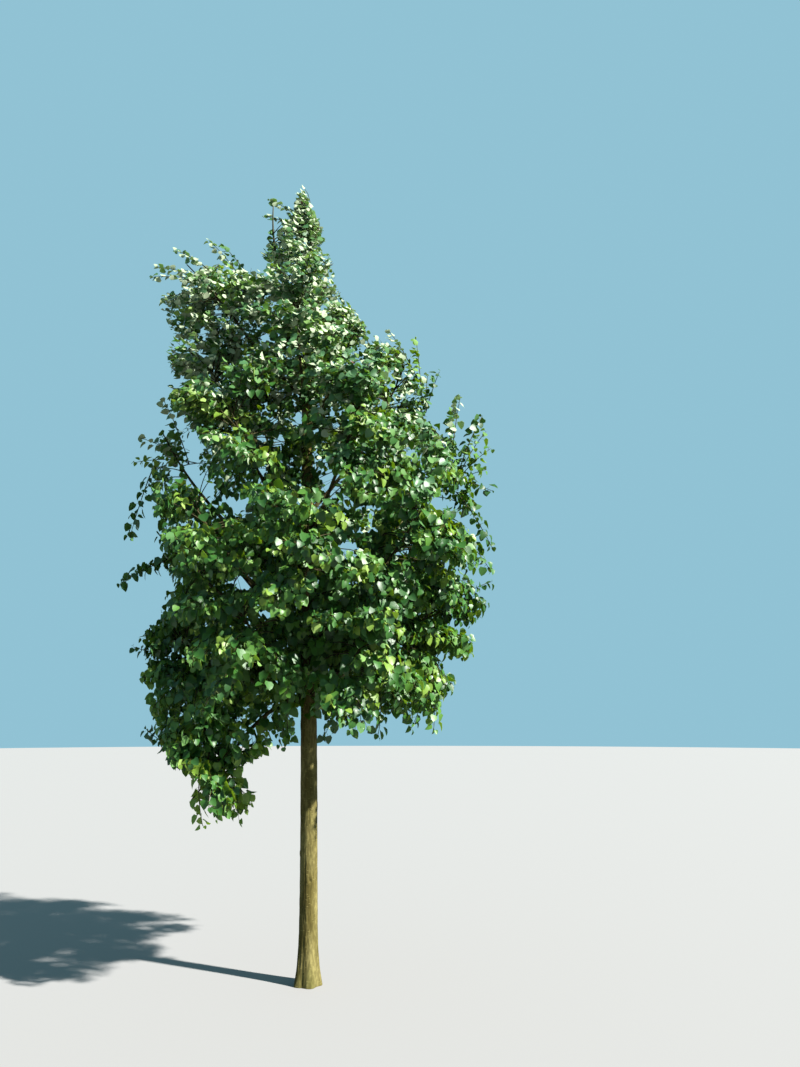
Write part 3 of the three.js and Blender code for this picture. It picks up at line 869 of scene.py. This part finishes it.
long_paths, long_rooms = [], []
twig_points = np.array(twig_paths)
twig_room_seeds = np.array([room.seed for room in twig_rooms])
for name, tip in [(name, np.array(tip)) for name, tips in LONG_SHOOTS for tip in tips]:
    room = next(room for room in rooms if room.name == name)
    own_points = twig_points[twig_room_seeds == room.seed].reshape(-1, 3)
    windward_foot = room.middle + np.array([LONG_SHOOT_WINDWARD * wind_at(tip[2]), 0, 0])
    wanted = tip + LONG_SHOOT_LENGTH * unit(windward_foot - tip)
    foot = own_points[np.argmin(np.linalg.norm(own_points - wanted, axis=1))]
    bow = UP if tip[2] > DROOPING_BELOW else unit(tip * LEVEL)
    bend = (foot + tip) / 2 + LONG_SHOOT_BOW * np.linalg.norm(tip - foot) * bow
    long_paths.append(curve_through(foot, bend, tip, TWIG_STEPS))
    long_rooms.append(room)

stem_paths, stem_radii = np.array(stem_paths), np.array(stem_radii)
twig_paths, shoot_paths = np.array(twig_paths), np.array(shoot_paths + spur_paths)
shoot_rooms += spur_rooms

twig_bark = bark_material(
    "twig_bark",
    light=(0.050, 0.046, 0.018),
    dark=(0.018, 0.016, 0.006),
    stain=(0.024, 0.032, 0.008),
    streaks=45,
    roughness=0.62,
    relief=0.0004,
)
shoot_bark = bark_material(
    "shoot_bark",
    light=(0.060, 0.044, 0.018),
    dark=(0.024, 0.015, 0.007),
    stain=(0.030, 0.044, 0.010),
    streaks=70,
    roughness=0.5,
    relief=0.0002,
)


def place_limbs(name, shell_name, paths, radii, sides, bark):
    """One piece of many round limbs, which replaces the masses that they run through."""
    shells = limb_rings(paths, np.broadcast_to(radii, paths.shape[:2]), sides)
    shell_mesh = joined_mesh(shell_name, shells, *ring_faces(paths.shape[1], sides, len(paths)))
    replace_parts(place(name, shell_mesh, bark), *LEAF_MASS_NODES)


all_twigs = np.concatenate([twig_paths, long_paths])
twig_taper = np.linspace(TWIG_FOOT_RADIUS, TWIG_TIP_RADIUS, TWIG_STEPS + 1)
shoot_taper = np.linspace(SHOOT_FOOT_RADIUS, SHOOT_TIP_RADIUS, SHOOT_STEPS + 1)
place_limbs("stems_in_the_crown", "stem_shells", stem_paths, stem_radii, STEM_SIDES, twig_bark)
place_limbs("twigs", "twig_shells", all_twigs, twig_taper, TWIG_SIDES, twig_bark)
place_limbs("side_shoots", "shoot_shells", shoot_paths, shoot_taper, SHOOT_SIDES, shoot_bark)


# The leaves: broad, pointed, heart-shaped blades up to 75 mm long, glossy green above and paler beneath, each
# on its own thin stalk. They sit one after another round every shoot and hang tip down. Near the top they
# stream to the left, where the wind turns many of them over.
LEAF_SPACING = 0.0205
LONG_SHOOT_LEAF_SPACING = 0.019
LEAF_SHORTEST = 0.037
LEAF_LONGEST = 0.075
LEAF_WIDTH = 0.92
LEAF_THICKNESS = 0.0005
LEAF_EDGE = 1.03
STEM_LEAVES_BEYOND_EDGE = 0.07
EDGE_WAVES = 9
EDGE_WAVE_HEIGHT = 2
CURL_SHORTENS = 0.35

# Half the outline of a blade of length 1, from the notch at its stalk to its tip, and how far up its midrib
# points lie. The faces join the midrib's points 0 to 2 to the right edge's 3 to 5 and the left edge's 6 to 8.
LEAF_OUTLINE = [(0.34, -0.03), (0.52, 0.3), (0.33, 0.72)]
LEAF_MIDRIB = [0.0, 0.5, 1.0]

leaf_flat = np.array(
    [(0, y) for y in LEAF_MIDRIB] + [(x, y) for x, y in LEAF_OUTLINE] + [(-x, y) for x, y in LEAF_OUTLINE]
)
RIGHT_HALF = [(0, 3, 1), (3, 4, 1), (4, 5, 1), (1, 5, 2)]
LEFT_HALF = [(0, 1, 6), (6, 1, 7), (7, 1, 8), (1, 2, 8)]
leaf_faces = np.array(RIGHT_HALF + LEFT_HALF)

# How far each kind of blade is folded up along its midrib, curled down to its tip, and waved at its edge.
LEAF_KINDS = [
    (0.10, 0.10, 0.03),
    (0.28, 0.16, 0.05),
    (0.45, 0.30, 0.02),
    (0.18, 0.42, 0.06),
    (0.05, 0.22, 0.08),
]


def leaf_blade(fold, curl, wave):
    side, ahead = leaf_flat[:, 0], leaf_flat[:, 1]
    edge_wave = wave * np.sin(EDGE_WAVES * ahead) * np.abs(side) * EDGE_WAVE_HEIGHT
    lift = fold * np.abs(side) - curl * ahead**2 + edge_wave
    return np.stack([LEAF_WIDTH * side, lift, ahead * (1 - CURL_SHORTENS * curl)], axis=1)


leaf_blades = np.array([leaf_blade(*kind) for kind in LEAF_KINDS])

# The kinds of limb that carry leaves, and the share of each that is bare at its foot.
ON_SHOOT, ON_TWIG, ON_STEM, ON_LONG_SHOOT = 3, 4, 5, 6
BARE_SHOOT, BARE_TWIG, BARE_STEM, BARE_LONG_SHOOT = 0.08, 0.3, 0.2, 0.06
LEAF_TURN_UNEVEN = 7
LIMBS_OF_A_KIND = 5000
LEAVES_IN_A_ROOM = 70
LEAF_SEED_STEP = 0.37
SPRAY_SEED_STEP = 0.53


def leaf_nodes(paths, rooms_of, kind_of_limb, first, spacing):
    """The places of the leaves along each limb: where, which way the limb heads there, and on which limb."""
    heading, across, above = limb_frames(paths)
    spots = []
    for limb, path in enumerate(paths):
        length = np.linalg.norm(path[-1] - path[0])
        count = max(1, int(round(length * (1 - first) / spacing)))
        for leaf in range(count):
            share = 1 - (1 - first) * leaf / count
            step = min(int(share * (len(path) - 1)), len(path) - 2)
            part = share * (len(path) - 1) - step
            root = path[step] * (1 - part) + path[step + 1] * part
            turn = leaf * TWIG_TURN + LEAF_TURN_UNEVEN * float(chance(limb, kind_of_limb))
            radial = math.cos(turn) * across[limb, step] + math.sin(turn) * above[limb, step]
            where = (*root, *heading[limb, step], *radial)
            spots.append((*where, limb, leaf, rooms_of[limb].seed, kind_of_limb))
    return np.array(spots)


spots = np.concatenate([
    leaf_nodes(shoot_paths, shoot_rooms, ON_SHOOT, BARE_SHOOT, LEAF_SPACING),
    leaf_nodes(twig_paths, twig_rooms, ON_TWIG, BARE_TWIG, LEAF_SPACING),
    leaf_nodes(stem_paths, rooms, ON_STEM, BARE_STEM, LEAF_SPACING),
    leaf_nodes(np.array(long_paths), long_rooms, ON_LONG_SHOOT, BARE_LONG_SHOOT, LONG_SHOOT_LEAF_SPACING),
])
root, heading, radial = spots[:, 0:3], spots[:, 3:6], spots[:, 6:9]
limb, leaf_number, room_seed, limb_kind = spots[:, 9], spots[:, 10], spots[:, 11], spots[:, 12]
limb_code = limb + LIMBS_OF_A_KIND * limb_kind
leaf_code = leaf_number + LEAVES_IN_A_ROOM * room_seed


def roll(number):
    """One repeatable value from 0 to 1 for every leaf. Each number gives another set of them."""
    return chance(limb_code * LEAF_SEED_STEP + number, leaf_code)


def spray_roll(number):
    """One repeatable value for all the leaves of a shoot."""
    return chance(limb_code * SPRAY_SEED_STEP, number)


def shaken(number):
    """A small push of its own for every leaf, from -1 to 1 each way."""
    return np.stack([roll(number), roll(number + 1), roll(number + 2)], axis=1) * 2 - 1


# The first leaves at a shoot's tip are not full-grown yet, and those in the wind stay smaller.
YOUNG_LEAF_SIZES = [0.55, 0.78, 0.93, 1]
WINDBLOWN_SMALLER = 0.2
wind = wind_at(root[:, 2])[:, None]
length = LEAF_SHORTEST + (LEAF_LONGEST - LEAF_SHORTEST) * roll(1)
young_size = np.interp(leaf_number, range(len(YOUNG_LEAF_SIZES)), YOUNG_LEAF_SIZES)
length *= young_size * (1 - WINDBLOWN_SMALLER * wind[:, 0])

# A stalk leaves its shoot sideways and a little ahead, and the wind pushes it to the left.
STALK_SHARE = 0.5
STALK_AHEAD = 0.5
STALK_ASIDE = 0.9
STALK_RISE = 0.2
STALK_UNEVEN = 0.3
STALK_BLOWN = np.array([-0.5, 0, 0])
stalk_way = STALK_AHEAD * heading + STALK_ASIDE * radial + STALK_RISE * UP + STALK_UNEVEN * shaken(2)
stalk_way = unit(stalk_way + wind * STALK_BLOWN)
stalk_end = root + stalk_way * (STALK_SHARE * length)[:, None]

# A blade's tip hangs down in shelter, and streams to the left in the wind, which leaves it less free.
TIP_ON_FROM_STALK = 0.75
TIP_UNEVEN = 0.35
TIP_UNEVEN_LOST = 0.15
TIP_HANG = 0.95
TIP_HANG_LOST = 0.85
TIP_STREAM = np.array([-1.25, 0.1, 0])
tip_way = unit(
    TIP_ON_FROM_STALK * stalk_way
    + (TIP_UNEVEN - TIP_UNEVEN_LOST * wind) * shaken(5)
    + -UP * (TIP_HANG - TIP_HANG_LOST * wind)
    + TIP_STREAM * wind
)

# A blade faces outwards and up to the light. The wind from the right turns many of them over, back outwards.
FACE_OUT = 0.85
FACE_UP = 0.75
FACE_UNEVEN = 0.95
FACE_UNEVEN_LOST = 0.25
WIND_FROM = np.array([0.8, -0.3, 0.55])
WIND_UNEVEN = 0.85
TURNED_SHARE = 0.04
BLOWN_OVER_SHARE = 0.64
outward = unit(root * LEVEL)
facing = unit(FACE_OUT * outward + FACE_UP * UP + (FACE_UNEVEN - FACE_UNEVEN_LOST * wind) * shaken(8))
windward = unit(WIND_FROM + WIND_UNEVEN * shaken(8))
turned_over = roll(11) < TURNED_SHARE + BLOWN_OVER_SHARE * wind[:, 0]
facing = np.where(turned_over[:, None], -windward, facing)
facing = unit(facing - np.sum(facing * tip_way, axis=1, keepdims=True) * tip_way)
sideways = np.cross(facing, tip_way)

blade_middle = stalk_end + 0.5 * tip_way * length[:, None]
on_spur = (limb_kind == ON_SHOOT) & (limb >= len(shoot_paths) - len(spur_paths))
inside = crown_share(stalk_end + tip_way * length[:, None]) <= np.where(on_spur, SPUR_EDGE, LEAF_EDGE)
beyond_edge = CROWN_EDGE_UNEVEN * (2 * roll(14) - 1) + STEM_LEAVES_BEYOND_EDGE * (limb_kind == ON_STEM)
inside &= inside_edge(blade_middle, beyond_edge)
inside &= ~in_opening(blade_middle, OPENING_LEAST + OPENING_UNEVEN * roll(15))
inside |= limb_kind == ON_LONG_SHOOT

kind = np.floor(roll(12) * len(LEAF_KINDS)).astype(int)
blade = leaf_blades[kind] * length[:, None, None]
blades = (
    stalk_end[:, None]
    + blade[..., 0:1] * sideways[:, None]
    + blade[..., 1:2] * facing[:, None]
    + blade[..., 2:3] * tip_way[:, None]
)
undersides = blades - LEAF_THICKNESS * facing[:, None]


# The veins and the skin of a blade, in shares of its size. Part of the light that falls on it shines through.
MIDRIB_WIDTH = 0.022
VEIN_SLANT = 0.9
VEINS_A_SIDE = 7.0
VEIN_WIDTH = 0.09
SIDE_VEIN_SHARE = 0.6
VEIN_SHARE = 0.6
VEIN_DEPTH = 0.5
MOTTLE_FINENESS = 5
MOTTLE_DETAIL = 4
MOTTLE_DARKEST = 0.8
MOTTLE_PALEST = 1.2
SMOOTHER_SPOTS = 0.07
ROUGHER_SPOTS = 0.1
PUCKER = 0.35
PUCKER_DEPTH = 0.0012
SHINE_THROUGH = 0.42


def leaf_material(name, colour, vein, roughness, gloss, glow):
    """A leaf surface: the blade's own green, paler veins from the midrib, and a faintly puckered gloss."""
    leaf, surface = new_finish(name)
    vein_tint = tuple(0.5 * part + 0.5 * pale for part, pale in zip(colour, vein))
    on_leaf = add_step(leaf, "ShaderNodeUVMap", {}, uv_map="OFBake")["UV"]
    spot = add_step(leaf, "ShaderNodeSeparateXYZ", {"Vector": on_leaf})
    from_midrib = worked_out(leaf, "ABSOLUTE", worked_out(leaf, "SUBTRACT", spot["X"], 0.5))
    slant = worked_out(leaf, "MULTIPLY", from_midrib, VEIN_SLANT)
    along_veins = worked_out(leaf, "MULTIPLY", worked_out(leaf, "SUBTRACT", spot["Y"], slant), VEINS_A_SIDE)
    side_vein = setting_in(leaf, worked_out(leaf, "PINGPONG", along_veins, 0.5), VEIN_WIDTH, 0.0)
    side_vein = worked_out(leaf, "MULTIPLY", side_vein, SIDE_VEIN_SHARE)
    veins = worked_out(leaf, "MAXIMUM", setting_in(leaf, from_midrib, MIDRIB_WIDTH, 0.0), side_vein)

    pattern = {"Vector": on_leaf, "Scale": MOTTLE_FINENESS, "Detail": MOTTLE_DETAIL}
    mottle = add_step(leaf, "ShaderNodeTexNoise", pattern)["Fac"]
    blade = blended(leaf, mottle, shaded(colour, MOTTLE_DARKEST), shaded(colour, MOTTLE_PALEST))
    veined = blended(leaf, worked_out(leaf, "MULTIPLY", veins, VEIN_SHARE), blade, shaded(vein_tint, 1))

    rough_range = {"To Min": roughness - SMOOTHER_SPOTS, "To Max": roughness + ROUGHER_SPOTS}
    rough = add_step(leaf, "ShaderNodeMapRange", {"Value": mottle, **rough_range})["Result"]
    height = worked_out(leaf, "SUBTRACT", mottle, worked_out(leaf, "MULTIPLY", veins, VEIN_DEPTH))
    bump = add_step(leaf, "ShaderNodeBump", {"Strength": PUCKER, "Distance": PUCKER_DEPTH, "Height": height})
    feed(leaf, surface, {"Base Color": veined, "Roughness": rough, "Normal": bump["Normal"]})
    feed(leaf, surface, {"Specular IOR Level": gloss})

    through = add_step(leaf, "ShaderNodeBsdfTranslucent", {"Color": (*glow, 1)})["BSDF"]
    layers = {"Fac": SHINE_THROUGH, 1: surface.outputs["BSDF"], 2: through}
    both = add_step(leaf, "ShaderNodeMixShader", layers)["Shader"]
    feed(leaf, leaf.node_tree.nodes["Material Output"], {"Surface": both})
    return leaf


# Each tint: its share of the sprays, the colour of the upper side, of the underside, and of the light through
# it. The last two have no share: sprays turned over by the wind are pale, and the youngest leaves are bronze.
# The pale tint is partly the leaves' own pale undersides and partly painted sheen: its blue-grey paleness on
# both sides stands in for the sky's reflection and the sun's highlights on the upper crown.
LEAF_TINTS = {
    "deep_green": (0.32, (0.014, 0.065, 0.011), (0.055, 0.140, 0.043), (0.17, 0.28, 0.016)),
    "mid_green": (0.36, (0.026, 0.103, 0.015), (0.082, 0.180, 0.053), (0.27, 0.40, 0.020)),
    "fresh_green": (0.20, (0.057, 0.153, 0.021), (0.125, 0.230, 0.064), (0.36, 0.50, 0.026)),
    "yellow_green": (0.12, (0.122, 0.208, 0.026), (0.200, 0.295, 0.080), (0.42, 0.56, 0.032)),
    "wind_pale_and_painted_sheen": (0, (0.042, 0.118, 0.050), (0.340, 0.415, 0.275), (0.32, 0.47, 0.160)),
    "young_bronze": (0, (0.120, 0.055, 0.024), (0.170, 0.090, 0.050), (0.30, 0.12, 0.04)),
}
PLAIN_TINTS = 4
WIND_PALE_AND_SHEEN = 4
YOUNG_BRONZE = 5
PALE_AND_SHEEN_SHARE = 0.8
UPPER_VEIN = (0.12, 0.20, 0.05)
UNDER_VEIN = (0.16, 0.22, 0.09)
UPPER_ROUGHNESS = 0.42
UPPER_GLOSS = 0.46
UNDER_ROUGHNESS = 0.62
UNDER_GLOSS = 0.1
MIDRIB_AT = np.array([0.5, 0.0])

# The last leaves of a few shoots, high up and at the edge of the crown, are still young and reddish.
BRONZE_ABOVE = 3.6
BRONZE_BEYOND = 0.9
BRONZE_SHARE = 0.035
BRONZE_LEAVES = 3
tint_ends = np.cumsum([tint[0] for tint in LEAF_TINTS.values()])
tint_of = np.minimum(np.searchsorted(tint_ends, spray_roll(20)), PLAIN_TINTS - 1)
# The pale tint goes to sprays high in the wind: its paleness there is partly painted sheen that lightens the
# upper crown.
tint_of[spray_roll(22) < PALE_AND_SHEEN_SHARE * wind[:, 0]] = WIND_PALE_AND_SHEEN
at_edge = (crown_share(root) > BRONZE_BEYOND) & (root[:, 2] > BRONZE_ABOVE)
tint_of[at_edge & (leaf_number < BRONZE_LEAVES) & (spray_roll(21) < BRONZE_SHARE)] = YOUNG_BRONZE


def leaf_sides(name, points, faces, uv, finish):
    """All the upper sides, or all the undersides, of the leaves of one tint."""
    sides_mesh = joined_mesh(name, points.reshape(-1, 3), faces, uv=uv)
    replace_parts(place(f"leaf_{name}", sides_mesh, finish), *LEAF_MASS_NODES)


for number, (tint, (_, upper, under, glow)) in enumerate(LEAF_TINTS.items()):
    chosen = inside & (tint_of == number)
    count = int(chosen.sum())
    first = (np.arange(count) * len(leaf_flat))[:, None, None]
    top_faces = (leaf_faces + first).reshape(-1, 3)
    leaf_uv = np.tile(leaf_flat + MIDRIB_AT, (count, 1))
    upper_side = leaf_material(f"leaf_upper_{tint}", upper, UPPER_VEIN, UPPER_ROUGHNESS, UPPER_GLOSS, glow)
    leaf_sides(f"upper_sides_{tint}", blades[chosen], top_faces, leaf_uv, upper_side)
    underside = leaf_material(f"leaf_underside_{tint}", under, UNDER_VEIN, UNDER_ROUGHNESS, UNDER_GLOSS, glow)
    leaf_sides(f"undersides_{tint}", undersides[chosen], top_faces[:, ::-1], leaf_uv, underside)

# The stalks: thin green blades, each from its place on the shoot to just past the foot of its leaf.
STALK_WIDTH = 0.0020
STALK_OVERLAP = 0.04
stalk_green = bark_material(
    "stalk_green",
    light=(0.070, 0.120, 0.025),
    dark=(0.035, 0.055, 0.012),
    stain=(0.080, 0.060, 0.020),
    streaks=60,
    roughness=0.5,
    relief=0.0001,
)
stalk_edge = unit(np.cross(stalk_way, facing))[inside] * STALK_WIDTH / 2
stalk_foot = root[inside]
stalk_top = (stalk_end + STALK_OVERLAP * length[:, None] * tip_way)[inside]
stalks = np.stack(
    [stalk_foot - stalk_edge, stalk_foot + stalk_edge, stalk_top + stalk_edge, stalk_top - stalk_edge], axis=1
)
stalk_faces = np.arange(4 * len(stalks)).reshape(-1, 4)
stalk_mesh = joined_mesh("stalk_blades", stalks.reshape(-1, 3), stalk_faces)
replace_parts(place("leaf_stalks", stalk_mesh, stalk_green), *LEAF_MASS_NODES)


# The stand for the picture: a plain pale floor that the trunk rises from, with soft even light all round it.
# One lamp shines from the right and from above, so that the shadows fall as they do in the photograph.
FLOOR_RADIUS = 60
FLOOR_SIDES = 96
FLOOR_COLOUR = (0.16, 0.16, 0.156)
FLOOR_ROUGHNESS = 0.9
ROOM_LIGHT_COLOUR = (0.43, 0.82, 1.0)
ROOM_LIGHT_STRENGTH = 0.66
LAMP_BEARING = -26
LAMP_ELEVATION = 38
LAMP_STRENGTH = 21.5
LAMP_SOFTNESS = 1.5
LAMP_COLOUR = (1.0, 0.96, 0.92)

floor_turn = np.arange(FLOOR_SIDES) * 2 * np.pi / FLOOR_SIDES
floor_edge = FLOOR_RADIUS * np.stack([np.cos(floor_turn), np.sin(floor_turn), np.zeros(FLOOR_SIDES)], axis=1)
floor_mesh = joined_mesh("floor", floor_edge, np.arange(FLOOR_SIDES)[None])
floor_paint, floor_surface = new_finish("floor_paint")
feed(floor_paint, floor_surface, {"Base Color": (*FLOOR_COLOUR, 1), "Roughness": FLOOR_ROUGHNESS})
floor_mesh.materials.append(floor_paint)
floor = set_up("floor", floor_mesh)

room_light = bpy.data.worlds.new("room_light")
room_light.use_nodes = True
room_glow = {"Color": (*ROOM_LIGHT_COLOUR, 1), "Strength": ROOM_LIGHT_STRENGTH}
feed(room_light, room_light.node_tree.nodes["Background"], room_glow)
bpy.context.scene.world = room_light
bpy.context.scene.view_settings.view_transform = "Standard"

key_lamp = bpy.data.lights.new("key_lamp", "SUN")
key_lamp.energy = LAMP_STRENGTH
key_lamp.angle = math.radians(LAMP_SOFTNESS)
key_lamp.color = LAMP_COLOUR
key_lamp_object = set_up("key_lamp", key_lamp)
key_lamp_object.rotation_euler = (math.radians(90 - LAMP_ELEVATION), 0, math.radians(LAMP_BEARING + 90))
